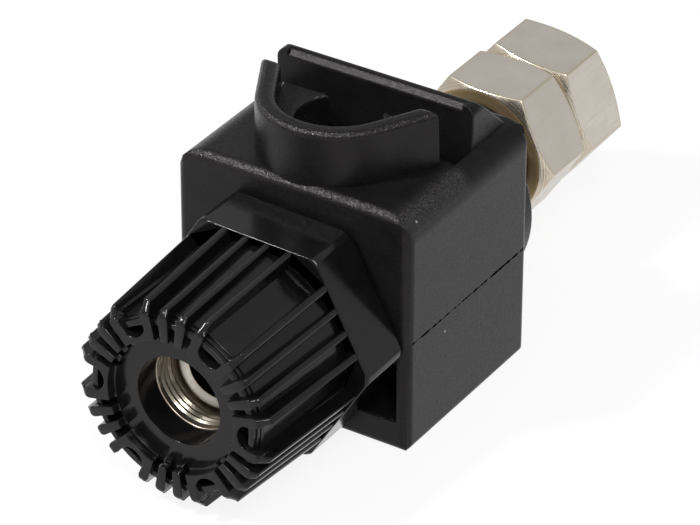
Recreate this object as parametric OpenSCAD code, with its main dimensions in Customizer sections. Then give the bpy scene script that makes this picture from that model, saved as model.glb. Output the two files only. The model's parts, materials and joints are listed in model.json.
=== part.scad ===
/* [Socket stud] */
// Outside diameter of the stud's thread
stud_d = 6; // [5:0.1:7]
// Bore for the 4 mm plug
plug_d = 4; // [3.6:0.05:4.4]
// Depth of the plug bore
plug_depth = 21; // [16:0.5:24]
// Hole across the stud for a bare wire
wire_d = 3.2; // [2:0.1:3.6]
// Length of thread behind the rear nut
stud_tail = 1.2; // [0.4:0.1:3]
// Gap between the fixed jaw and the housing's side walls
jaw_side_gap = 1.1; // [0.4:0.1:1.4]
// Gap between the jaw's lower flat and the housing's floor
jaw_flat_gap = 0.1; // [0.05:0.05:0.4]
// Thickness of the fixed jaw
jaw_t = 2.5; // [1.8:0.1:3.5]

/* [Clamp] */
// Thickness of the sliding clamp plate
plate_t = 1.5; // [1:0.1:2]
// Gap between the clamp plate and the housing's inside
plate_gap = 0.6; // [0.3:0.05:1]
// Radius of the clamp plate's corners
plate_corner = 1; // [0.5:0.1:1.5]
// Gap between plate and jaw when screwed shut
jaw_gap = 0.1; // [0.05:0.05:0.3]
// Outside diameter of the threaded bush
bush_d = 8.4; // [8:0.1:8.6]
// Diameter of the bush where the plate turns on it
journal_d = 7.6; // [7.4:0.05:7.8]
// Thickness of the retaining ring
ring_t = 0.5; // [0.4:0.05:0.7]
// Outside diameter of the retaining ring
ring_d = 9.4; // [8.6:0.1:10]
// Diameter of the groove that holds the retaining ring
ring_seat_d = 7; // [6.8:0.05:7.2]
// Opening of the retaining ring
ring_mouth = 3; // [2:0.1:4]

/* [Knob] */
// Length of the ribbed grip
grip_l = 9.6; // [8:0.1:11]
// Width across the ribs at the front
grip_af = 13.9; // [13.4:0.1:14.4]
// Width across flats of the hexagonal collar
collar_af = 15.1; // [14.8:0.1:16]
// Distance of the collar's blunted corners from the housing's sides
collar_inset = 0.3; // [0.1:0.05:0.6]
// Length of the hexagonal collar
collar_l = 4.1; // [3:0.1:5]
// Gap between collar and housing when shut
collar_gap = 0.25; // [0.15:0.05:0.5]
// Hole in the front of the knob
knob_hole_d = 6.25; // [6.1:0.05:6.6]
// Diameter of the dished front
dish_d = 9; // [8.6:0.1:9.4]
// Depth of the dished front
dish_depth = 1; // [0.8:0.1:1.4]
// Width of the step round the dish
dish_step = 0.25; // [0.1:0.05:0.4]
// Depth of the bush's front rim below the knob's front
bush_inset = 3; // [2.2:0.1:4]
// Depth of the stud's end below the knob's front
stud_inset = 4.9; // [4:0.1:6]
// Sides of the grip and its collar
sides = 6; // [6:1:6]
// Ribs on each side
ribs = 4; // [3:1:4]
// Angle between neighbouring ribs
rib_pitch = 12.1; // [11.5:0.1:12.5]
// Width of a rib at its crest
rib_crest = 0.5; // [0.35:0.05:0.7]
// Width of a rib at its root
rib_root = 0.75; // [0.6:0.05:0.9]
// Diameter of the core between the ribs at the front
core_d = 12.7; // [12.2:0.1:13]
// Diameter of the core at the collar
core_root_d = 14; // [13.4:0.1:14.4]
// Depth of the core's front rim behind the ribs' front
rim_depth = 0.3; // [0.2:0.05:0.4]
// Width of the core's front rim
rim_w = 0.4; // [0.3:0.05:0.6]
// Length of each of the two stairs outside the rim
stair_l = 0.3; // [0.2:0.05:0.35]
// Rise of each stair
stair_rise = 0.12; // [0.05:0.01:0.2]
// Width of the smooth panel at each corner
panel_w = 2.1; // [1.8:0.05:2.2]
// Distance of the panels from the axis at the front
panel_front = 6.3; // [6.1:0.05:6.3]
// Distance of the panels from the axis at the collar
panel_root = 6.55; // [6.4:0.05:6.7]
// Radius of the notch in front of each panel
notch_r = 1; // [0.8:0.05:1.1]
// Distance of the notch's bottom from the axis
notch_floor = 5.05; // [4.95:0.05:5.2]
// Turn of the knob about its axis
knob_turn = 2; // [0:0.5:60]

/* [Housing] */
// Width of the housing
body_w = 17.8; // [17:0.1:19]
// Length of the housing along the axis
body_l = 15; // [14.5:0.1:16]
// Top of the housing above the axis
body_top = 9.5; // [9:0.1:10.5]
// Bottom of the housing below the axis
body_bottom = 8.2; // [8:0.1:9]
// Radius of the housing's long upper edges
top_edge = 1.3; // [0.6:0.1:1.5]
// Radius of the edge between the housing's top and front
front_edge = 0.7; // [0.4:0.1:1]
// Radius of the housing's upright edges
upright_edge = 0.4; // [0.2:0.1:0.8]
// Radius of the housing's lower edges
bottom_edge = 0.5; // [0.3:0.1:1]
// Thickness of the side walls
side_wall = 0.95; // [0.8:0.05:1.1]
// Thickness of the floor
floor_t = 2.2; // [1.5:0.1:2.5]
// Thickness of the top wall
roof_t = 1.7; // [1.2:0.1:2]
// Thickness of the front wall
front_wall = 1.4; // [1:0.1:1.6]
// Running gap round the bush in the front wall
neck_gap = 0.6; // [0.4:0.1:1]

/* [Wire entry] */
// Width of the lug slot
slot_w = 2.15; // [1.7:0.05:2.4]
// Distance of the lug slot's ends from the housing's inner side walls
slot_inset = 0.35; // [0.1:0.05:0.8]
// Height of the funnel above the housing
funnel_h = 3.9; // [2.5:0.1:5]
// Radius of the funnel's round front
funnel_r = 5.4; // [4.8:0.1:5.6]
// Distance of the funnel's centre from the slot
funnel_back = 2.1; // [1.6:0.1:2.6]
// Angle at which the funnel's sides spread
funnel_spread = 28; // [20:1:32]
// Land between the funnel and the slot
funnel_land = 0.7; // [0.3:0.1:1]
// Thickness of the funnel's wall
funnel_wall = 1.35; // [1:0.05:1.6]
// Depth of the ledge below the funnel's rim
ledge_depth = 1.8; // [0.8:0.1:2.4]
// Diameter of the wire hole
entry_d = 5.7; // [5:0.1:6.2]
// Height of the guard behind the slot
guard_h = 2.95; // [2:0.05:3.5]
// Distance of the guard's ends from the housing's sides
guard_inset = 1.35; // [1.2:0.05:2]
// Depth of the guard's flat top
guard_top = 0.35; // [0.2:0.05:0.8]
// Size of the bevel along the guard's front edge
guard_bevel = 0.45; // [0.2:0.05:0.6]
// Distance of the bevel's ends from the guard's ends
guard_bevel_inset = 0.9; // [0.5:0.1:1.5]
// Radius of the guard's upper corners
guard_corner = 0.7; // [0.4:0.1:1]

/* [Rear bush and nuts] */
// Diameter of the insulating collar
collar_rear_d = 15; // [13:0.1:16]
// Thickness of the insulating collar
collar_rear_t = 3.1; // [2.5:0.1:4]
// Diameter of the spigot through the panel
spigot_d = 8.1; // [7.4:0.1:9]
// Length of the spigot behind the panel face
spigot_l = 5.2; // [3:0.1:6]
// Diameter of the hub inside the housing
hub_d = 9; // [8:0.1:10]
// Length of the hub between the jaw and the insulating collar
hub_l = 2.65; // [2.2:0.05:3]
// Width across flats of the nuts
nut_af = 10; // [9.5:0.1:10.5]
// Height of a nut
nut_h = 5.2; // [4:0.1:5.5]
// Turn of the first nut
nut_1_turn = 2; // [0:1:60]
// Turn of the second nut
nut_2_turn = 8; // [0:1:60]

/* [Hidden] */
$fn = 64;
thread_gap = 0.05;
seat_gap = 0.02;
journal_gap = 0.05;
ring_gap = 0.02;
bore_tip = 0.8;
lead_in = 0.2;
nut_chamfer_angle = 30;
nut_face_share = 0.97;
nut_mouth = 0.35;
rib_round = 0.3;
rib_drop = 0.05;
rib_bite = 0.2;
collar_chamfer = 0.15;

// Places along the axis, with the panel face of the rear bush at zero
body_rear = -collar_rear_t;
body_front = body_rear - body_l;
jaw_rear = body_rear - hub_l;
jaw_front = jaw_rear - jaw_t;
plate_rear = jaw_front - jaw_gap;
plate_front = plate_rear - plate_t;
collar_rear = body_front - collar_gap;
collar_front = collar_rear - collar_l;
knob_front = collar_front - grip_l;
bush_front = knob_front + bush_inset;
stud_front = knob_front + stud_inset;
slot_front = jaw_front - slot_w;
funnel_y = slot_front - funnel_back;
funnel_end = slot_front - funnel_land;
nut_1_front = spigot_l + seat_gap;
nut_2_front = nut_1_front + nut_h + seat_gap;
stud_rear = nut_2_front + nut_h + stud_tail;
cavity_front = body_front + front_wall;
cavity_w = body_w - 2 * side_wall;
cavity_top = body_top - roof_t;
cavity_bottom = body_bottom - floor_t;
plate_w = cavity_w - 2 * plate_gap;
plate_top = cavity_top - plate_gap;
plate_bottom = cavity_bottom - plate_gap;
jaw_d = cavity_w - 2 * jaw_side_gap;
jaw_flats = 2 * (cavity_bottom - jaw_flat_gap);
slot_l = cavity_w - 2 * slot_inset;
guard_w = body_w - 2 * guard_inset;
ring_front = plate_rear - ring_t - 4 * ring_gap;
bush_bore_d = stud_d + 2 * thread_gap;
collar_d = body_w - 2 * collar_inset;
rim_r = core_d / 2 - 2 * stair_rise;
core_front = rim_depth + 2 * stair_l;
spoke_r = dish_d / 2 - rib_bite;
corner_half = 180 / sides - (ribs - 1) / 2 * rib_pitch;

// Turns a shape that stands on the origin so that it runs along the axis from y
module along_axis(y) { translate([0, y, 0]) rotate([-90, 0, 0]) children(); }

// Round bar along the axis between two places
module bar(d, from, to) { along_axis(from) cylinder(d = d, h = to - from); }

// Hexagon along the axis with a flat on top
module hexagon(af, from, to) {
    along_axis(from) cylinder(d = af / cos(30), h = to - from, $fn = 6);
}

// Square-cornered box between two corners
module box(low, high) { translate(low) cube(high - low); }

// Rectangle between two corners with round corners
module round_rectangle(low, high, r) {
    for (x = [low.x + r, high.x - r], y = [low.y + r, high.y - r]) translate([x, y]) circle(r = r);
    translate([low.x + r, low.y]) square([high.x - low.x - 2 * r, high.y - low.y]);
    translate([low.x, low.y + r]) square([high.x - low.x, high.y - low.y - 2 * r]);
}

// Block whose edges along, upright to and across the axis are rounded
module housing_block(low, high, along, upright, across) {
    intersection() {
        translate([0, high.y, 0]) rotate([90, 0, 0]) linear_extrude(high.y - low.y)
            round_rectangle([low.x, low.z], [high.x, high.z], along);
        translate([0, 0, low.z]) linear_extrude(high.z - low.z)
            round_rectangle([low.x, low.y], [high.x, high.y], upright);
        translate([low.x, 0, 0]) rotate([90, 0, 90]) linear_extrude(high.x - low.x)
            round_rectangle([low.y, low.z], [high.y, high.z], across);
    }
}

// Plan of the funnel: a round front with sides that spread towards the slot
module funnel_plan(r, end) {
    tangent = [r * cos(funnel_spread), -r * sin(funnel_spread)];
    run = end - funnel_y - tangent.y;
    far = tangent.x + run * tan(funnel_spread);
    translate([0, funnel_y]) {
        intersection() {
            circle(r = r);
            translate([-r, -r]) square([2 * r, r + tangent.y]);
        }
        polygon([[-tangent.x, tangent.y], [tangent.x, tangent.y], [far, tangent.y + run], [-far, tangent.y + run]]);
    }
}

// Guard behind the slot, seen from the side: upright front, sloping back
module guard_profile() {
    polygon([[jaw_front, body_top - roof_t], [jaw_front, body_top + guard_h],
             [jaw_front + guard_bevel + guard_top, body_top + guard_h],
             [body_rear - top_edge / 2, body_top - top_edge / 4], [body_rear - top_edge / 2, body_top - roof_t]]);
}

module guard() {
    intersection() {
        translate([-guard_w / 2, 0, 0]) rotate([90, 0, 90]) linear_extrude(guard_w) guard_profile();
        translate([0, body_rear, 0]) rotate([90, 0, 0]) linear_extrude(body_l)
            round_rectangle([-guard_w / 2, 0], [guard_w / 2, body_top + guard_h], guard_corner);
    }
}

module guard_front_bevel() {
    reach = guard_w / 2 - guard_bevel_inset;
    top = body_top + guard_h;
    translate([-reach, 0, 0]) rotate([90, 0, 90]) linear_extrude(2 * reach)
        polygon([[jaw_front - 1, top - guard_bevel - 1], [jaw_front + guard_bevel + 1, top + 1], [jaw_front - 1, top + 1]]);
}

module funnel() {
    rim = body_top + funnel_h;
    difference() {
        translate([0, 0, cavity_top]) linear_extrude(rim - cavity_top) funnel_plan(funnel_r, funnel_end);
        translate([0, 0, rim - ledge_depth]) linear_extrude(ledge_depth + 1)
            funnel_plan(funnel_r - funnel_wall, funnel_end + 1);
    }
    translate([0, 0, cavity_top]) linear_extrude(rim - ledge_depth - cavity_top)
        intersection() {
            funnel_plan(funnel_r - funnel_wall, slot_front);
            translate([-body_w, funnel_y]) square([2 * body_w, slot_front - funnel_y]);
        }
}

module upper_housing() {
    color("#3a383a") difference() {
        union() {
            intersection() {
                housing_block([-body_w / 2, body_front, -2 * top_edge],
                              [body_w / 2, body_rear, body_top], top_edge, upright_edge, front_edge);
                box([-body_w, body_front - 1, 0], [body_w, body_rear + 1, body_top + 1]);
            }
            funnel();
            guard();
        }
        box([-cavity_w / 2, cavity_front, -1], [cavity_w / 2, jaw_rear, cavity_top]);
        box([-slot_l / 2, slot_front, 0], [slot_l / 2, jaw_front, body_top + 1]);
        translate([0, funnel_y, 0]) cylinder(d = entry_d, h = body_top + funnel_h + 1);
        bar(bush_d + 2 * neck_gap, body_front - 1, cavity_front + 1);
        bar(hub_d + 2 * seat_gap, jaw_rear - 1, body_rear + 1);
        guard_front_bevel();
    }
}

module lower_housing() {
    color("#3e3c3e") difference() {
        intersection() {
            housing_block([-body_w / 2, body_front, -body_bottom],
                          [body_w / 2, body_rear, 2 * bottom_edge], bottom_edge, upright_edge, bottom_edge);
            box([-body_w, body_front - 1, -body_bottom - 1], [body_w, body_rear + 1, 0]);
        }
        box([-cavity_w / 2, body_front - 1, -cavity_bottom], [cavity_w / 2, jaw_rear, 1]);
        bar(hub_d + 2 * seat_gap, jaw_rear - 1, body_rear + 1);
    }
}

module socket_stud() {
    color("#cdc6bc") difference() {
        union() {
            bar(stud_d, stud_front, stud_rear);
            intersection() {
                bar(jaw_d, jaw_front, jaw_rear - seat_gap);
                box([-jaw_d, jaw_front - 1, -jaw_flats / 2], [jaw_d, jaw_rear + 1, jaw_flats / 2]);
            }
        }
        bar(plug_d, stud_front - 1, stud_front + plug_depth);
        along_axis(stud_front + plug_depth) cylinder(d1 = plug_d, d2 = 0, h = bore_tip);
        along_axis(stud_front) cylinder(d1 = plug_d + 2 * lead_in, d2 = plug_d, h = lead_in);
        translate([0, funnel_y, -stud_d]) cylinder(d = wire_d, h = 2 * stud_d);
    }
}

module clamp_plate() {
    color("#b9b3aa") difference() {
        translate([0, plate_rear, 0]) rotate([90, 0, 0]) linear_extrude(plate_t)
            round_rectangle([-plate_w / 2, -plate_bottom], [plate_w / 2, plate_top], plate_corner);
        bar(journal_d + 2 * journal_gap, plate_front - 1, plate_rear + 1);
        bar(ring_d + 2 * journal_gap, ring_front - 2 * ring_gap, plate_rear + 1);
    }
}

module knob_bush() {
    color("#c9a968") difference() {
        union() {
            bar(bush_d, bush_front, plate_front - seat_gap);
            bar(journal_d, bush_front, plate_rear);
        }
        bar(bush_bore_d, bush_front - 1, plate_rear + 1);
        difference() {
            bar(journal_d + 1, ring_front - ring_gap, ring_front + ring_t + ring_gap);
            bar(ring_seat_d, ring_front - ring_t, ring_front + 2 * ring_t);
        }
    }
}

module retaining_ring() {
    color("#8f8b86") difference() {
        bar(ring_d, ring_front, ring_front + ring_t);
        bar(ring_seat_d + 2 * ring_gap, ring_front - 1, ring_front + ring_t + 1);
        box([-ring_mouth / 2, ring_front - 1, -ring_d], [ring_mouth / 2, ring_front + ring_t + 1, 0]);
    }
}

// Tapered hexagon over the ribs' crests, standing on its front
module grip_envelope() {
    reach = grip_l + rib_bite;
    tilt = atan(((collar_af - grip_af) / 2 - rib_drop) / reach);
    difference() {
        rotate_extrude()
            polygon([[0, 0], [grip_af / 2 - rib_round, 0], [grip_af / 2 + rib_round, 2 * rib_round],
                     [collar_d / 2, 2 * rib_round], [collar_d / 2, reach], [0, reach]]);
        for (s = [0 : sides - 1]) rotate((s + 0.5) * 360 / sides)
            translate([grip_af / 2, 0, 0]) rotate([0, tilt, 0])
                translate([0, -collar_d, -1]) cube([collar_d, 2 * collar_d, reach + 3]);
    }
}

// Rib that runs on over the front as a spoke, seen along the axis
module rib_plan() {
    edge = [[spoke_r, rib_crest / 2], [core_d / 2, rib_root / 2], [grip_af / 2, rib_crest / 2],
            [collar_d, rib_crest / 2]];
    polygon(concat(edge, [for (i = [len(edge) - 1 : -1 : 0]) [edge[i].x, -edge[i].y]]));
}

module grip_ribs() {
    for (s = [0 : sides - 1], i = [0 : ribs - 1])
        rotate((s + 0.5) * 360 / sides + (i - (ribs - 1) / 2) * rib_pitch)
            linear_extrude(grip_l + rib_bite) rib_plan();
}

// Web between the two ribs at a corner, which the notch turns into a horseshoe
module corner_web() {
    for (s = [0 : sides - 1]) rotate(s * 360 / sides)
        difference() {
            linear_extrude(dish_depth + rib_bite)
                polygon([for (q = [[spoke_r, -1], [grip_af / 2, -1], [grip_af / 2, 1], [spoke_r, 1]])
                         q.x * [cos(corner_half), q.y * sin(corner_half)]]);
            corner_notch();
        }
}

module corner_notch() {
    centre = notch_floor + notch_r;
    far = grip_af / 2 + 1;
    translate([0, 0, -1]) linear_extrude(1 + dish_depth) {
        translate([centre, 0]) circle(r = notch_r);
        polygon([[centre, -notch_r], [far, -notch_r - rib_round], [far, notch_r + rib_round], [centre, notch_r]]);
    }
}

// Round core with a raised rim and two stairs at its front edge
module grip_core() {
    rotate_extrude()
        polygon([[0, dish_depth], [rim_r - rim_w, dish_depth], [rim_r - rim_w, rim_depth], [rim_r, rim_depth],
                 [rim_r, rim_depth + stair_l], [rim_r + stair_rise, rim_depth + stair_l],
                 [rim_r + stair_rise, core_front], [core_d / 2, core_front], [core_root_d / 2, grip_l],
                 [core_root_d / 2, grip_l + rib_bite], [0, grip_l + rib_bite]]);
}

// Smooth sloping panel cut into one corner
module corner_panel() {
    slope = atan((panel_root - panel_front) / (grip_l - core_front));
    translate([panel_front, 0, core_front]) rotate([0, slope, 0]) linear_extrude((grip_l - core_front) * cos(slope))
        polygon([[0, -panel_w / 2], [1, -panel_w / 2 - rib_round / 2], [collar_d, -panel_w / 2 - rib_round / 2],
                 [collar_d, panel_w / 2 + rib_round / 2], [1, panel_w / 2 + rib_round / 2], [0, panel_w / 2]]);
}

module clamp_knob() {
    color("#1c1b1c") rotate([0, knob_turn, 0]) difference() {
        union() {
            along_axis(knob_front) difference() {
                union() {
                    grip_core();
                    intersection() {
                        grip_envelope();
                        union() {
                            grip_ribs();
                            corner_web();
                        }
                    }
                }
                for (s = [0 : sides - 1]) rotate(s * 360 / sides) corner_panel();
            }
            intersection() {
                hexagon(collar_af, collar_front, collar_rear);
                along_axis(collar_front) rotate(30) rotate_extrude()
                    polygon([[0, 0], [collar_d / 2 - collar_chamfer, 0], [collar_d / 2, collar_chamfer],
                             [collar_d / 2, collar_l - collar_chamfer], [collar_d / 2 - collar_chamfer, collar_l],
                             [0, collar_l]]);
            }
        }
        bar(dish_d, knob_front - 1, knob_front + dish_depth);
        bar(dish_d + 2 * dish_step, knob_front - 1, knob_front + dish_depth / 2);
        bar(knob_hole_d, knob_front, bush_front + 1);
        bar(bush_d + 2 * seat_gap, bush_front - seat_gap, collar_rear + 1);
    }
}

module rear_bush() {
    color("#343234") difference() {
        union() {
            bar(hub_d, jaw_rear + seat_gap, body_rear + 1);
            bar(collar_rear_d, body_rear, 0);
            bar(spigot_d, -1, spigot_l);
        }
        bar(bush_bore_d, jaw_rear - 1, spigot_l + 1);
    }
}

module nut(front, turn) {
    rim = nut_af / 2 * nut_face_share;
    corner = nut_af / 2 / cos(30) + nut_mouth;
    drop = (corner - rim) * tan(nut_chamfer_angle);
    mouth = bush_bore_d + 2 * nut_mouth;
    color("#cdc6bc") rotate([0, turn, 0]) difference() {
        intersection() {
            hexagon(nut_af, front, front + nut_h);
            along_axis(front) rotate(15) rotate_extrude()
                polygon([[0, 0], [rim, 0], [corner, drop], [corner, nut_h - drop], [rim, nut_h], [0, nut_h]]);
        }
        bar(bush_bore_d, front - 1, front + nut_h + 1);
        along_axis(front) cylinder(d1 = mouth, d2 = bush_bore_d, h = nut_mouth);
        along_axis(front + nut_h - nut_mouth) cylinder(d1 = bush_bore_d, d2 = mouth, h = nut_mouth);
    }
}

module front_nut() { nut(nut_1_front, nut_1_turn); }

module rear_nut() { nut(nut_2_front, nut_2_turn); }

socket_stud();
clamp_plate();
knob_bush();
retaining_ring();
clamp_knob();
upper_housing();
lower_housing();
rear_bush();
front_nut();
rear_nut();
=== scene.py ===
"""Looks of the banana socket terminal: broken edges, threads, finishes, studio light and the view."""
import json
import math

import bmesh
import bpy
from mathutils import Matrix, Vector

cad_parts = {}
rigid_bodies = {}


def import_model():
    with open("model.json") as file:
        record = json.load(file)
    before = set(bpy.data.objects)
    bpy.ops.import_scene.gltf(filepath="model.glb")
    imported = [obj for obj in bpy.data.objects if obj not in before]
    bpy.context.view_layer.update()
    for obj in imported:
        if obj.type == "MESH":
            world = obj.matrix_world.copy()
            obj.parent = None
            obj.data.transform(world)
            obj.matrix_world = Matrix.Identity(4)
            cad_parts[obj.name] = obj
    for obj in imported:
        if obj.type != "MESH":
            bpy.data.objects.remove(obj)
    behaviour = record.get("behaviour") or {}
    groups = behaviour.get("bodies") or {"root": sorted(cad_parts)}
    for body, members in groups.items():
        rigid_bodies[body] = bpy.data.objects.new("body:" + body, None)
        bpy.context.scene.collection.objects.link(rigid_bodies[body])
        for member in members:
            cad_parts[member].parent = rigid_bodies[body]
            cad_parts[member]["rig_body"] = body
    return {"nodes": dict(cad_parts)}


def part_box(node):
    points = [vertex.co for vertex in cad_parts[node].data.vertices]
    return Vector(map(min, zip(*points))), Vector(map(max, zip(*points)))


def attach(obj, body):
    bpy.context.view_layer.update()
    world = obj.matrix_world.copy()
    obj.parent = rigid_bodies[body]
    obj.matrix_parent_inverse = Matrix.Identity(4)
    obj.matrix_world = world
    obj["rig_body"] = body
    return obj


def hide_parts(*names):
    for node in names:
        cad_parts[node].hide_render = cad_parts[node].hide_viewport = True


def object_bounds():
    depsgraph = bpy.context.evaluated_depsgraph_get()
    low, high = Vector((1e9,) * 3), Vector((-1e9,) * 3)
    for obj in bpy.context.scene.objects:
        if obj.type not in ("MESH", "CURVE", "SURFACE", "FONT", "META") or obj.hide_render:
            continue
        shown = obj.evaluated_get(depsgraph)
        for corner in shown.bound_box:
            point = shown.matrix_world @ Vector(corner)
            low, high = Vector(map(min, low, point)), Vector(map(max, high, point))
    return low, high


MM = 0.001

# The photograph's view, fitted to the nuts, the housing and the knob
VIEW_AZIMUTH = 32.5
VIEW_ELEVATION = 32.0
VIEW_ROLL = 0.18
VIEW_TARGET = Vector((0.0, -12.0, 0.0)) * MM
VIEW_DISTANCE = 295.0 * MM
VIEW_CLIP = (0.01, 10.0)
LENS = 230.9
SENSOR_WIDTH = 36.0
SHIFT = (0.011, 0.0047)

# Studio: the soft light, the sky that metal mirrors, white below the horizon, the floor and two lamps
SOFT_LIGHT = 0.5
CEILING = 0.80
HORIZON = 0.12
FLOOR_REACH = 0.3
FLOOR_GLOW = 0.88
KEY_LAMP = {"azimuth": 40, "elevation": 50, "distance": 0.40, "size": 0.10, "power": 0.8}
FILL_LAMP = {"azimuth": -40, "elevation": 48, "distance": 0.45, "size": 0.05, "power": 1.7}

# Thread of the stud's tail, which is turned down to the thread's root
STUD_RADIUS = 3.0 * MM
TAIL_LENGTH = 1.2 * MM
TAIL_STEP = 0.02 * MM
TAIL_PITCH = 1.0 * MM
TAIL_DEPTH = 0.5 * MM
TAIL_THREAD_START = 0.1 * MM
TAIL_THREAD_LENGTH = 0.6 * MM

# Fine rings in the mouth of the knob's bush, made as a thread
BUSH_RADIUS = 3.05 * MM
BUSH_PITCH = 0.42 * MM
BUSH_DEPTH = 0.10 * MM
BUSH_THREAD_START = 0.35 * MM
BUSH_THREAD_LENGTH = 1.2 * MM

# Flanks of a thread, as shares of its pitch, and its steps in one turn
THREAD_ROOT = 0.86
THREAD_CREST = 0.16
THREAD_STEPS = 72
THREAD_INPUTS = {
    "Middle Radius": "NodeSocketFloat",
    "Pitch": "NodeSocketFloat",
    "Turns": "NodeSocketFloat",
    "Depth": "NodeSocketFloat",
    "Root Width": "NodeSocketFloat",
    "Crest Width": "NodeSocketFloat",
    "Crest Turn": "NodeSocketVector",
    "Start": "NodeSocketVector",
    "Finish": "NodeSocketMaterial",
}

# Countersunk mouth of the stud, and the bore behind it with a little to spare
MOUTH_RADIUS = 2.55 * MM
MOUTH_DEPTH = 0.22 * MM
MOUTH_REACH = 0.5 * MM
BORE_RADIUS = 2.02 * MM

# Upright corners and upper long edges of the housing, rounder than its solids have them. The flats beside
# an edge are first divided at these shares of its radius.
CORNER_RADIUS = 0.7 * MM
CORNER_CUTS = (1.0, 0.8)
SHOULDER_RADIUS = 2.1 * MM
SHOULDER_CUTS = (1.0, 0.86, 0.73)
HOUSING_TOP = 9.5 * MM

# Width of the broken edges, in millimetres
CREST_EDGE = 0.16
KNOB_EDGE = 0.07
STAIR_EDGE = 0.04
COLLAR_EDGE = 0.08
SEAM_EDGE = 0.03
FUNNEL_EDGE = 0.5
LEDGE_EDGE = 0.3
GUARD_EDGE = 0.12
MOULD_EDGE = 0.14
BUSH_EDGE = 0.3
TURNED_EDGE = 0.07
WIDEST_EDGE = FUNNEL_EDGE

# Where on the part each width applies, in millimetres
COLLAR_FRONT = -22.6
CREST_RADIUS = 6.6
KNOB_FRONT = -31.9
CORNER_SIDE = 8.1
SHOULDER_SIDE = 6.7
SHOULDER_HEIGHTS = (7.0, 9.6)
HOUSING_MIDDLE = (-17.3, -3.9)
SEAM_HEIGHT = 0.1
GUARD_FOOT = 9.6
GUARD_FRONT = -8.4
FUNNEL_RIM = 13.2
LEDGE_FOOT = 9.7
BUSH_COLLAR_RADIUS = 6.0

# Angles between faces, in degrees: up to which they join, and from which edges are broken and shading stops
JOIN_ANGLE = 0.05
MOULDED_ANGLE = 25.0
NUT_ANGLE = 20.0
SHADING_ANGLE = 35.0
THREAD_ANGLE = 30.0

# Share of a nut face's normal along the axis: over the first value it is a chamfer, over the second an end
NUT_CHAMFER = 0.2
NUT_END = 0.95

# Lengths below which places count as the same
SAME_PLACE = 0.0005 * MM
SAME_PLANE = 0.0002 * MM
SAME_FACE = 0.01 * MM
SAME_HEIGHT = 0.05 * MM

# Range of the noise that is spread over values and colours, and range of a mask
NOISE_LOW = 0.3
NOISE_HIGH = 0.7
MASK = (0.0, 1.0)

# Upward share of the normal over which a top becomes slanted, and then flat
SLANTED_TOP = (0.20, 0.85)
FLAT_TOP = (0.85, 0.99)

# Likeness of the rounded and the plain normal, from an edge to the flats
EDGE_LIKENESS = (0.90, 0.995)

# Where on the part the glints end, and where the flat sides with the seam begin
GLINTS_END = (-11.0 * MM, -10.0 * MM)
FLAT_SIDE = (8.86 * MM, 8.88 * MM)

# The widest band of painted shade along the seam, and the range of noise over which it widens
SEAM_SHADE_WIDTH = 0.10 * MM
SEAM_SHADE_NOISE = (0.36, 0.60)


def new_object(name, data):
    piece = bpy.data.objects.new(name, data)
    bpy.context.scene.collection.objects.link(piece)
    return piece


def plain_mesh(piece):
    """The mesh of an object with its modifiers applied."""
    graph = bpy.context.evaluated_depsgraph_get()
    return bpy.data.meshes.new_from_object(piece.evaluated_get(graph))


def apply(piece, kind, **settings):
    """Works one modifier into the mesh of an object."""
    tool = piece.modifiers.new(kind.lower(), kind)
    for setting, value in settings.items():
        setattr(tool, setting, value)
    before = piece.data
    piece.data = plain_mesh(piece)
    piece.modifiers.clear()
    bpy.data.meshes.remove(before)


def mark_sharp(mesh, angle):
    """Smooth shading that stops at the edges over an angle."""
    mesh.shade_smooth()
    shape = bmesh.new()
    shape.from_mesh(mesh)
    for edge in shape.edges:
        edge.smooth = len(edge.link_faces) == 2 and edge.calc_face_angle(0.0) < math.radians(angle)
    shape.to_mesh(mesh)
    shape.free()


# Each rule below gives the width of a broken edge from its place and its distance from the axis.
def knob_edge(at, radius):
    if at.y > COLLAR_FRONT:
        return COLLAR_EDGE
    if radius > CREST_RADIUS:
        return CREST_EDGE
    return KNOB_EDGE if at.y < KNOB_FRONT else STAIR_EDGE


def at_corner(at):
    """Whether a place lies at an upright corner of the housing or at an end of its shoulders."""
    corner = abs(at.x) > CORNER_SIDE
    shoulder = abs(at.x) > SHOULDER_SIDE and SHOULDER_HEIGHTS[0] < at.z < SHOULDER_HEIGHTS[1]
    return (corner or shoulder) and not HOUSING_MIDDLE[0] < at.y < HOUSING_MIDDLE[1]


def upper_edge(at, radius):
    if abs(at.z) < SEAM_HEIGHT:
        return SEAM_EDGE
    if at_corner(at):
        return 0.0
    if at.z > GUARD_FOOT and at.y > GUARD_FRONT:
        return GUARD_EDGE
    if at.z > FUNNEL_RIM:
        return FUNNEL_EDGE
    return LEDGE_EDGE if at.z > LEDGE_FOOT else MOULD_EDGE


def lower_edge(at, radius):
    if abs(at.z) < SEAM_HEIGHT:
        return SEAM_EDGE
    return 0.0 if at_corner(at) else MOULD_EDGE


def bush_edge(at, radius):
    return BUSH_EDGE if radius > BUSH_COLLAR_RADIUS else MOULD_EDGE


def turned_edge(at, radius):
    return TURNED_EDGE


def clean_copy(node):
    """A copy of a CAD node's mesh with its triangles joined into faces."""
    shape = bmesh.new()
    shape.from_mesh(frame["nodes"][node].data)
    bmesh.ops.remove_doubles(shape, verts=shape.verts, dist=SAME_PLACE)
    flat = math.radians(JOIN_ANGLE)
    bmesh.ops.dissolve_limit(shape, angle_limit=flat, verts=shape.verts, edges=shape.edges)
    return shape


def cut(shape, place, along, top=math.inf):
    """Divides the faces of a mesh that lie below a height along a plane, in the same order each run."""
    faces = [face for face in shape.faces if max(vert.co.z for vert in face.verts) < top]
    edges = dict.fromkeys(edge for face in faces for edge in face.edges)
    verts = dict.fromkeys(vert for edge in edges for vert in edge.verts)
    parts = [*verts, *edges, *faces]
    bmesh.ops.bisect_plane(shape, geom=parts, plane_co=place, plane_no=along, dist=SAME_PLANE)


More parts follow.
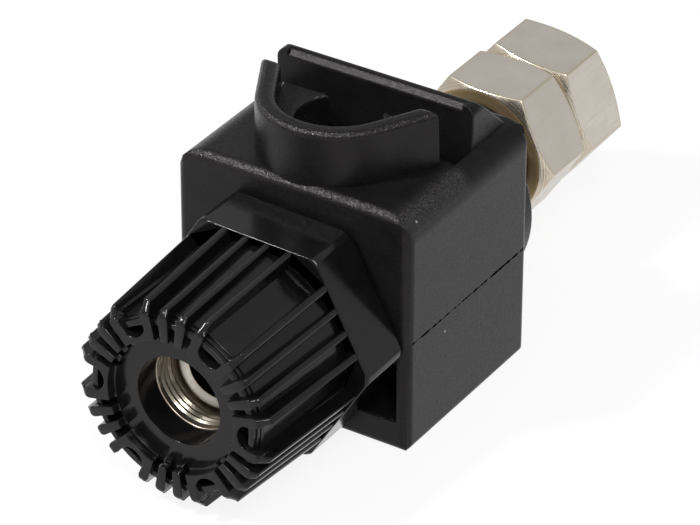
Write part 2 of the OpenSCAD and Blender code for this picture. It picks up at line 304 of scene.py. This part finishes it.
def round_edges(shape, axes, low, high, radius, shares):
    """Widens the round edges of the housing's block that lie between the sides across two axes."""
    top = HOUSING_TOP + SAME_HEIGHT
    for share in shares:
        for axis in axes:
            along = [float(axis == other) for other in range(3)]
            for place in (low[axis] + share * radius, high[axis] - share * radius):
                cut(shape, [place * part for part in along], along, top)
    for vert in shape.verts:
        if vert.co.z > top:
            continue
        at = Vector([vert.co[axis] for axis in axes])
        centre = Vector([min(max(vert.co[axis], low[axis] + radius), high[axis] - radius) for axis in axes])
        away = at - centre
        if away.x and away.y and away.length > radius:
            vert.co[axes[0]], vert.co[axes[1]] = centre + away * radius / away.length


def rounder_housing(node):
    """A copy of one half of the housing with wider upright corners and, above, wider shoulders."""
    shape = clean_copy(node)
    low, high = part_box(node)
    round_edges(shape, (0, 1), low, high, CORNER_RADIUS, CORNER_CUTS)
    if high[2] > HOUSING_TOP:
        far_below = (low[0], low[1], -HOUSING_TOP)
        block_top = (high[0], high[1], HOUSING_TOP)
        round_edges(shape, (0, 2), far_below, block_top, SHOULDER_RADIUS, SHOULDER_CUTS)
    return shape


def dress(piece, material):
    piece.data.materials.clear()
    piece.data.materials.append(material)


def finish_node(node, shape, edge_width, material, sharp=MOULDED_ANGLE):
    """Breaks the outer edges of a copied node, each by its own width, and sets it in the node's place."""
    weights = shape.edges.layers.float.new("bevel_weight_edge")
    for edge in shape.edges:
        if len(edge.link_faces) != 2 or not edge.is_convex or edge.calc_face_angle(0.0) < math.radians(sharp):
            continue
        at = (edge.verts[0].co + edge.verts[1].co) / 2 / MM
        edge[weights] = edge_width(at, math.hypot(at.x, at.z)) / WIDEST_EDGE
    mesh = bpy.data.meshes.new(node + "_edges")
    shape.to_mesh(mesh)
    shape.free()
    piece = new_object(node + "_finish", mesh)
    apply(piece, "BEVEL", limit_method="WEIGHT", width=WIDEST_EDGE * MM, segments=3, use_clamp_overlap=False,
          miter_outer="MITER_ARC")
    mark_sharp(piece.data, SHADING_ANGLE)
    apply(piece, "WEIGHTED_NORMAL", keep_sharp=True)
    dress(piece, material)
    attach(piece, frame["nodes"][node]["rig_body"])
    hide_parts(node)
    return piece


def thread_tree():
    """Geometry Nodes: a trapezoid swept along a helix about the Y axis."""
    tree = bpy.data.node_groups.new("screw_thread", "GeometryNodeTree")
    for name, kind in THREAD_INPUTS.items():
        tree.interface.new_socket(name=name, in_out="INPUT", socket_type=kind)
    tree.interface.new_socket(name="Thread", in_out="OUTPUT", socket_type="NodeSocketGeometry")
    nodes, link = tree.nodes, tree.links.new
    sizes = nodes.new("NodeGroupInput").outputs
    length = nodes.new("ShaderNodeMath")
    length.operation = "MULTIPLY"
    link(sizes["Pitch"], length.inputs[0])
    link(sizes["Turns"], length.inputs[1])
    helix = nodes.new("GeometryNodeCurveSpiral")
    helix.inputs["Resolution"].default_value = THREAD_STEPS
    link(sizes["Turns"], helix.inputs["Rotations"])
    link(sizes["Middle Radius"], helix.inputs["Start Radius"])
    link(sizes["Middle Radius"], helix.inputs["End Radius"])
    link(length.outputs["Value"], helix.inputs["Height"])
    upright = nodes.new("GeometryNodeSetCurveNormal")
    upright.mode = "Z_UP"
    link(helix.outputs["Curve"], upright.inputs["Curve"])
    profile = nodes.new("GeometryNodeCurvePrimitiveQuadrilateral")
    profile.mode = "TRAPEZOID"
    profile.inputs["Offset"].default_value = 0.0
    link(sizes["Depth"], profile.inputs["Height"])
    link(sizes["Root Width"], profile.inputs["Bottom Width"])
    link(sizes["Crest Width"], profile.inputs["Top Width"])
    turned = nodes.new("GeometryNodeTransform")
    link(profile.outputs["Curve"], turned.inputs["Geometry"])
    link(sizes["Crest Turn"], turned.inputs["Rotation"])
    sweep = nodes.new("GeometryNodeCurveToMesh")
    sweep.inputs["Fill Caps"].default_value = True
    link(upright.outputs["Curve"], sweep.inputs["Curve"])
    link(turned.outputs["Geometry"], sweep.inputs["Profile Curve"])
    along = nodes.new("GeometryNodeTransform")
    along.inputs["Rotation"].default_value = (math.radians(-90), 0.0, 0.0)
    link(sweep.outputs["Mesh"], along.inputs["Geometry"])
    link(sizes["Start"], along.inputs["Translation"])
    realize = nodes.new("GeometryNodeRealizeInstances")
    link(along.outputs["Geometry"], realize.inputs["Geometry"])
    coat = nodes.new("GeometryNodeSetMaterial")
    link(realize.outputs["Geometry"], coat.inputs["Geometry"])
    link(sizes["Finish"], coat.inputs["Material"])
    link(coat.outputs["Geometry"], nodes.new("NodeGroupOutput").inputs["Thread"])
    return tree


def cut_thread(name, node, tree, material, pitch, depth, radius, start, length, inward):
    """A length of thread on a node's body, with its crest at the radius and pointing in or out."""
    piece = new_object(name, bpy.data.meshes.new(name + "_empty"))
    tool = piece.modifiers.new("thread", "NODES")
    tool.node_group = tree
    middle = radius + depth / 2 if inward else radius - depth / 2
    sizes = {
        "Middle Radius": middle,
        "Pitch": pitch,
        "Turns": length / pitch,
        "Depth": depth,
        "Root Width": THREAD_ROOT * pitch,
        "Crest Width": THREAD_CREST * pitch,
        "Crest Turn": (0.0, 0.0, math.radians(-90 if inward else 90)),
        "Start": (0.0, start, 0.0),
        "Finish": material,
    }
    for socket in tree.interface.items_tree:
        if socket.in_out == "INPUT":
            tool[socket.identifier] = sizes[socket.name]
    mesh = plain_mesh(piece)
    piece.modifiers.clear()
    piece.data = mesh
    shape = bmesh.new()
    shape.from_mesh(mesh)
    bmesh.ops.recalc_face_normals(shape, faces=shape.faces)
    shape.to_mesh(mesh)
    shape.free()
    mark_sharp(mesh, THREAD_ANGLE)
    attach(piece, frame["nodes"][node]["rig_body"])


def turn_down_tail(shape, end):
    """Turns the stud's tail down to the root of its thread."""
    start = end - TAIL_LENGTH
    for place in (start, start + TAIL_STEP):
        cut(shape, (0.0, place, 0.0), (0.0, 1.0, 0.0))
    root = STUD_RADIUS - TAIL_DEPTH
    for vert in shape.verts:
        radius = math.hypot(vert.co.x, vert.co.z)
        if vert.co.y > start + TAIL_STEP / 2 and radius > root:
            vert.co.x *= root / radius
            vert.co.z *= root / radius


def countersink(shape, front):
    """Opens the stud's mouth to a cone."""
    for vert in shape.verts:
        radius = math.hypot(vert.co.x, vert.co.z)
        if radius < MOUTH_RADIUS and abs(vert.co.y - front) < SAME_FACE:
            vert.co.x *= MOUTH_RADIUS / radius
            vert.co.z *= MOUTH_RADIUS / radius
        elif radius < MOUTH_RADIUS and vert.co.y - front < MOUTH_REACH:
            vert.co.y = front + MOUTH_DEPTH


class Shader:
    """A material under construction, with short calls for its nodes."""

    def __init__(self, name):
        self.material = bpy.data.materials.new(name)
        self.material.use_nodes = True
        self.tree = self.material.node_tree
        self.surface = self.tree.nodes["Principled BSDF"]

    def node(self, kind, **inputs):
        made = self.tree.nodes.new(kind)
        for socket, value in inputs.items():
            made.inputs[socket.replace("_", " ")].default_value = value
        return made

    def link(self, source, target):
        self.tree.links.new(source, target)

    def feed(self, value, target):
        """Links an input to another node's output, or sets it to a plain value."""
        if isinstance(value, bpy.types.NodeSocket):
            self.link(value, target)
        else:
            target.default_value = value

    def give(self, **inputs):
        """Feeds the inputs of the surface."""
        for name, value in inputs.items():
            self.feed(value, self.surface.inputs[name.replace("_", " ")])

    def calculate(self, operation, *values):
        made = self.node("ShaderNodeMath")
        made.operation = operation
        for value, target in zip(values, made.inputs):
            self.feed(value, target)
        return made.outputs["Value"]

    def product(self, first, second):
        return self.calculate("MULTIPLY", first, second)

    def spread(self, value, low, high, from_low=NOISE_LOW, from_high=NOISE_HIGH):
        """A value brought from one range to another, and held at its ends."""
        made = self.node("ShaderNodeMapRange", From_Min=from_low, From_Max=from_high, To_Min=low, To_Max=high)
        self.link(value, made.inputs["Value"])
        return made.outputs["Result"]

    def colours(self, value, dark, light):
        """Colours between a dark and a light one, after noise."""
        made = self.node("ShaderNodeValToRGB")
        first, last = made.color_ramp.elements
        first.color = (*dark, 1.0)
        last.color = (*light, 1.0)
        first.position = NOISE_LOW
        last.position = NOISE_HIGH
        self.link(value, made.inputs["Fac"])
        return made.outputs["Color"]

    def covered(self, colour, share, cover):
        """A colour with another over it where the share is one."""
        made = self.node("ShaderNodeMix")
        made.data_type = "RGBA"
        under, over = [socket for socket in made.inputs if socket.type == "RGBA"]
        over.default_value = (*cover, 1.0)
        self.link(share, made.inputs["Factor"])
        self.link(colour, under)
        return [socket for socket in made.outputs if socket.type == "RGBA"][0]

    def place(self, scale=(1.0, 1.0, 1.0)):
        """The place on the part, in metres along the frame's axes, each times its scale."""
        where = self.node("ShaderNodeTexCoord")
        scaled = self.node("ShaderNodeMapping", Scale=scale)
        self.link(where.outputs["Object"], scaled.inputs["Vector"])
        return scaled.outputs["Vector"]

    def along_axes(self, vector):
        """The shares of a vector along X, Y and Z."""
        apart = self.node("ShaderNodeSeparateXYZ")
        self.link(vector, apart.inputs["Vector"])
        return apart.outputs

    def noise(self, scale, detail=3.0, stretch=(1.0, 1.0, 1.0)):
        made = self.node("ShaderNodeTexNoise", Scale=scale, Detail=detail)
        self.link(self.place(stretch), made.inputs["Vector"])
        return made.outputs["Fac"]

    def rings(self, scale):
        """Noise that changes with the distance from the Y axis only."""
        across = self.node("ShaderNodeVectorMath")
        across.operation = "LENGTH"
        self.link(self.place((1.0, 0.0, 1.0)), across.inputs[0])
        made = self.node("ShaderNodeTexNoise", Scale=1.0, Detail=2.0)
        made.noise_dimensions = "1D"
        self.link(self.product(across.outputs["Value"], scale), made.inputs["W"])
        return made.outputs["Fac"]

    def specks(self, spacing, size):
        """One where a sparse dust speck lies, zero elsewhere."""
        cells = self.node("ShaderNodeTexVoronoi", Scale=1.0 / spacing)
        self.link(self.place(), cells.inputs["Vector"])
        return self.spread(cells.outputs["Distance"], 1.0, 0.0, 0.6 * size / spacing, size / spacing)

    def near_edge(self, radius):
        """One close to an outer edge, zero on the flats."""
        rounded = self.node("ShaderNodeBevel", Radius=radius)
        plain = self.node("ShaderNodeNewGeometry")
        alike = self.node("ShaderNodeVectorMath")
        alike.operation = "DOT_PRODUCT"
        self.link(rounded.outputs["Normal"], alike.inputs[0])
        self.link(plain.outputs["Normal"], alike.inputs[1])
        return self.spread(alike.outputs["Value"], 1.0, 0.0, *EDGE_LIKENESS)

    def rounded_top(self):
        """Masks of the rounded top edges in front of the guard, of those behind, and of the flat tops."""
        upward = self.along_axes(self.node("ShaderNodeNewGeometry").outputs["True Normal"])["Z"]
        depth = self.along_axes(self.place())["Y"]
        flat = self.spread(upward, 0.0, 1.0, *FLAT_TOP)
        rising = self.spread(upward, 0.0, 1.0, *SLANTED_TOP)
        slanted = self.product(rising, self.spread(flat, 1.0, 0.0, *MASK))
        front = self.product(slanted, self.spread(depth, 1.0, 0.0, *GLINTS_END))
        rear = self.product(slanted, self.spread(depth, 0.0, 1.0, *GLINTS_END))
        return front, rear, flat

    def painted_seam_shade(self):
        """One along a ragged band of painted shade where the halves meet, on the flat sides of the housing,
        zero elsewhere.
        """
        at = self.along_axes(self.place())
        gap = self.spread(self.noise(1500.0, 6.0, (1.0, 1.0, 0.0)), 0.0, SEAM_SHADE_WIDTH, *SEAM_SHADE_NOISE)
        on_line = self.calculate("LESS_THAN", self.calculate("ABSOLUTE", at["Z"]), gap)
        on_side = self.spread(self.calculate("ABSOLUTE", at["X"]), 0.0, 1.0, *FLAT_SIDE)
        return self.product(on_line, on_side)

    def bump(self, height, depth, strength):
        made = self.node("ShaderNodeBump", Distance=depth)
        self.feed(strength, made.inputs["Strength"])
        self.link(height, made.inputs["Height"])
        self.give(Normal=made.outputs["Normal"])


def gloss_black():
    """Glossy moulding of the knob, with a little dust."""
    shader = Shader("gloss_black")
    colour = shader.colours(shader.noise(900.0),
                            dark=(0.0036, 0.0034, 0.0036), light=(0.0060, 0.0056, 0.0058))
    dust = shader.specks(spacing=3.2 * MM, size=0.10 * MM)
    shader.give(Base_Color=shader.covered(colour, dust, (0.16, 0.155, 0.15)),
                Roughness=shader.spread(shader.noise(1600.0, 4.0), low=0.12, high=0.20),
                Specular_IOR_Level=0.28)
    shader.bump(shader.noise(5000.0, 2.0), depth=0.004 * MM, strength=0.5)
    return shader.material


def grained_black():
    """Grained moulding of the housing: glints on its rubbed front edges, duller tops, and painted shade along
    the seam.
    """
    shader = Shader("grained_black")
    colour = shader.colours(shader.noise(700.0),
                            dark=(0.0055, 0.0051, 0.0054), light=(0.0082, 0.0076, 0.0080))
    dust = shader.specks(spacing=3.6 * MM, size=0.11 * MM)
    colour = shader.covered(colour, dust, (0.30, 0.29, 0.28))
    # Painted shade: a ragged dark band along the seam between the halves
    seam_shade = shader.painted_seam_shade()
    rubbed, dulled, flat = shader.rounded_top()
    glints = shader.product(rubbed, shader.spread(shader.noise(15000.0, 1.0), 0.0, 1.3, 0.50, 0.70))
    shine = shader.calculate("ADD", shader.spread(flat, 0.175, 0.085, *MASK), glints)
    shine = shader.product(shine, shader.spread(dulled, 1.0, 0.5, *MASK))
    # The painted seam shade has no reflection, and below its colour is black
    shine = shader.product(shine, shader.spread(seam_shade, 1.0, 0.0, *MASK))
    shader.give(Base_Color=shader.covered(colour, seam_shade, (0.0, 0.0, 0.0)),
                Roughness=shader.spread(shader.noise(3000.0, 4.0), low=0.22, high=0.30),
                Specular_IOR_Level=shine,
                Specular_Tint=(1.0, 0.93, 0.96, 1.0))
    coarse = shader.spread(shader.calculate("ADD", rubbed, flat), 0.3, 0.9, *MASK)
    shader.bump(shader.noise(21000.0, 1.0), depth=0.04 * MM, strength=coarse)
    return shader.material


def nickel():
    """Worn nickel plating, with fine scratches and warmer edges."""
    shader = Shader("nickel")
    scratches = shader.noise(6000.0, 3.0, (1.0, 0.06, 1.0))
    colour = shader.colours(shader.noise(500.0), dark=(0.61, 0.56, 0.50), light=(0.66, 0.615, 0.55))
    colour = shader.covered(colour, shader.spread(scratches, 0.0, 0.2, 0.5, 0.8), (0.50, 0.45, 0.39))
    colour = shader.covered(colour, shader.near_edge(0.35 * MM), (0.52, 0.41, 0.26))
    shader.give(Metallic=1.0, Base_Color=colour, Roughness=shader.spread(scratches, low=0.26, high=0.38))
    shader.bump(scratches, depth=0.003 * MM, strength=0.3)
    return shader.material


def turned_metal(name, fineness, dark, light, roughness, depth, strength):
    """Metal with the marks of the lathe round the axis."""
    shader = Shader(name)
    marks = shader.rings(fineness)
    shader.give(Metallic=1.0, Base_Color=shader.colours(marks, dark, light), Roughness=roughness)
    shader.bump(marks, depth, strength)
    return shader.material


def turned_nickel():
    """Plated chamfers."""
    return turned_metal("turned_nickel", fineness=14000.0, dark=(0.53, 0.44, 0.32), light=(0.68, 0.63, 0.55),
                        roughness=0.26, depth=0.012 * MM, strength=0.5)


def worn_brass():
    """End faces where the plating has worn through."""
    return turned_metal("worn_brass", fineness=9000.0, dark=(0.50, 0.36, 0.18), light=(0.68, 0.52, 0.30),
                        roughness=0.5, depth=0.02 * MM, strength=0.6)


def bore_painted_shade():
    """Painted shade deep in the plug's bore: dark brownish metal."""
    shader = Shader("bore_painted_shade")
    colour = shader.colours(shader.noise(800.0), dark=(0.05, 0.032, 0.022), light=(0.10, 0.068, 0.045))
    shader.give(Metallic=1.0, Base_Color=colour, Roughness=0.45)
    return shader.material


def plate_steel():
    """Zinc-plated steel of the hidden plate and ring."""
    shader = Shader("plate_steel")
    colour = shader.colours(shader.noise(600.0), dark=(0.50, 0.49, 0.47), light=(0.62, 0.61, 0.59))
    shader.give(Metallic=1.0, Base_Color=colour,
                Roughness=shader.spread(shader.noise(2500.0, 4.0), low=0.3, high=0.42))
    return shader.material


def seen_directly(tree):
    """One for rays that show the background: from the camera, off metal or through glass."""
    rays = tree.nodes.new("ShaderNodeLightPath")
    value = rays.outputs["Is Camera Ray"]
    for kind in ("Is Glossy Ray", "Is Transmission Ray"):
        either = tree.nodes.new("ShaderNodeMath")
        either.operation = "MAXIMUM"
        tree.links.new(value, either.inputs[0])
        tree.links.new(rays.outputs[kind], either.inputs[1])
        value = either.outputs["Value"]
    return value


def studio_white():
    """White floor that stays white to the camera and keeps a faint shadow."""
    shader = Shader("studio_white")
    shader.give(Base_Color=(0.9, 0.9, 0.9, 1.0), Roughness=0.9, Specular_IOR_Level=0.0)
    glow = shader.node("ShaderNodeEmission", Strength=1.0)
    mix = shader.node("ShaderNodeMixShader")
    shader.link(shader.product(seen_directly(shader.tree), FLOOR_GLOW), mix.inputs["Fac"])
    shader.link(shader.surface.outputs["BSDF"], mix.inputs[1])
    shader.link(glow.outputs["Emission"], mix.inputs[2])
    shader.link(mix.outputs["Shader"], shader.tree.nodes["Material Output"].inputs["Surface"])
    return shader.material


def make_floor(level):
    mesh = bpy.data.meshes.new("floor")
    corners = [(x * FLOOR_REACH, y * FLOOR_REACH, level) for x, y in ((-1, -1), (1, -1), (1, 1), (-1, 1))]
    mesh.from_pydata(corners, [], [(0, 1, 2, 3)])
    floor = new_object("floor", mesh)
    dress(floor, studio_white())


def make_world():
    """Even soft light that is white to the camera and a little darker overhead in what metal mirrors."""
    world = bpy.data.worlds.new("studio")
    bpy.context.scene.world = world
    world.use_nodes = True
    nodes, links = world.node_tree.nodes, world.node_tree.links
    soft = nodes["Background"]
    soft.inputs["Color"].default_value = (1.0, 1.0, 1.0, 1.0)
    soft.inputs["Strength"].default_value = SOFT_LIGHT
    where = nodes.new("ShaderNodeTexCoord")
    height = nodes.new("ShaderNodeSeparateXYZ")
    links.new(where.outputs["Generated"], height.inputs["Vector"])
    fade = nodes.new("ShaderNodeMapRange")
    fade.inputs["From Min"].default_value = -HORIZON
    fade.inputs["From Max"].default_value = HORIZON
    fade.inputs["To Min"].default_value = 1.0
    fade.inputs["To Max"].default_value = CEILING
    links.new(height.outputs["Z"], fade.inputs["Value"])
    level = nodes.new("ShaderNodeMath")
    level.operation = "MAXIMUM"
    links.new(fade.outputs["Result"], level.inputs[0])
    links.new(nodes.new("ShaderNodeLightPath").outputs["Is Camera Ray"], level.inputs[1])
    white = nodes.new("ShaderNodeBackground")
    links.new(level.outputs["Value"], white.inputs["Strength"])
    mix = nodes.new("ShaderNodeMixShader")
    links.new(seen_directly(world.node_tree), mix.inputs["Fac"])
    links.new(soft.outputs["Background"], mix.inputs[1])
    links.new(white.outputs["Background"], mix.inputs[2])
    links.new(mix.outputs["Shader"], nodes["World Output"].inputs["Surface"])


def direction(azimuth, elevation):
    """The way from the part to a viewer or lamp, with azimuth zero in front."""
    around = math.radians(azimuth)
    up = math.radians(elevation)
    return Vector((math.sin(around) * math.cos(up), -math.cos(around) * math.cos(up), math.sin(up)))


def make_lamp(name, azimuth, elevation, distance, size, power):
    light = bpy.data.lights.new(name, "AREA")
    light.shape = "SQUARE"
    light.size = size
    light.energy = power
    lamp = new_object(name, light)
    way = direction(azimuth, elevation)
    lamp.location = VIEW_TARGET + way * distance
    lamp.rotation_euler = way.to_track_quat("Z", "Y").to_euler()


def make_camera():
    camera = bpy.data.cameras.new("photo_view")
    camera.lens = LENS
    camera.sensor_width = SENSOR_WIDTH
    camera.shift_x, camera.shift_y = SHIFT
    camera.clip_start, camera.clip_end = VIEW_CLIP
    view = new_object("photo_view", camera)
    way = direction(VIEW_AZIMUTH, VIEW_ELEVATION)
    turn = way.to_track_quat("Z", "Y").to_matrix() @ Matrix.Rotation(math.radians(VIEW_ROLL), 3, "Z")
    view.matrix_world = Matrix.Translation(VIEW_TARGET + way * VIEW_DISTANCE) @ turn.to_4x4()
    bpy.context.scene.camera = view


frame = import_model()
cad_low, cad_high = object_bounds()

bpy.context.scene.view_settings.view_transform = "Standard"
make_camera()
make_world()
make_floor(cad_low[2])
make_lamp("key", **KEY_LAMP)
make_lamp("fill", **FILL_LAMP)

gloss = gloss_black()
grained = grained_black()
metal = nickel()
chamfered = turned_nickel()
brass = worn_brass()
steel = plate_steel()

finish_node("clamp_knob", clean_copy("clamp_knob"), knob_edge, gloss)
finish_node("upper_housing", rounder_housing("upper_housing"), upper_edge, grained)
finish_node("lower_housing", rounder_housing("lower_housing"), lower_edge, grained)
finish_node("rear_bush", clean_copy("rear_bush"), bush_edge, grained)
for node in ("front_nut", "rear_nut"):
    nut = finish_node(node, clean_copy(node), turned_edge, metal, NUT_ANGLE)
    nut.data.materials.append(brass)
    nut.data.materials.append(chamfered)
    for face in nut.data.polygons:
        if abs(face.normal.y) > NUT_CHAMFER:
            finish = brass if face.normal.y < -NUT_END else chamfered
            face.material_index = nut.data.materials.find(finish.name)
finish_node("knob_bush", clean_copy("knob_bush"), turned_edge, metal, NUT_ANGLE)
for node in ("clamp_plate", "retaining_ring"):
    finish_node(node, clean_copy(node), turned_edge, steel)

stud_low, stud_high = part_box("socket_stud")
stud_shape = clean_copy("socket_stud")
turn_down_tail(stud_shape, stud_high[1])
countersink(stud_shape, stud_low[1])
stud = finish_node("socket_stud", stud_shape, turned_edge, metal)
# Painted shade on the bore's walls, behind the mouth and in front of the tail
stud.data.materials.append(bore_painted_shade())
tail_start = stud_high[1] - TAIL_LENGTH
for face in stud.data.polygons:
    across = math.hypot(face.center.x, face.center.z)
    face.material_index = int(across < BORE_RADIUS and face.center.y < tail_start)

threads = thread_tree()
cut_thread("tail_thread", "socket_stud", threads, metal, TAIL_PITCH, TAIL_DEPTH, STUD_RADIUS,
           tail_start + TAIL_THREAD_START, TAIL_THREAD_LENGTH, inward=False)
bush_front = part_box("knob_bush")[0][1]
cut_thread("bush_thread", "knob_bush", threads, chamfered, BUSH_PITCH, BUSH_DEPTH, BUSH_RADIUS - BUSH_DEPTH,
           bush_front + BUSH_THREAD_START, BUSH_THREAD_LENGTH, inward=True)
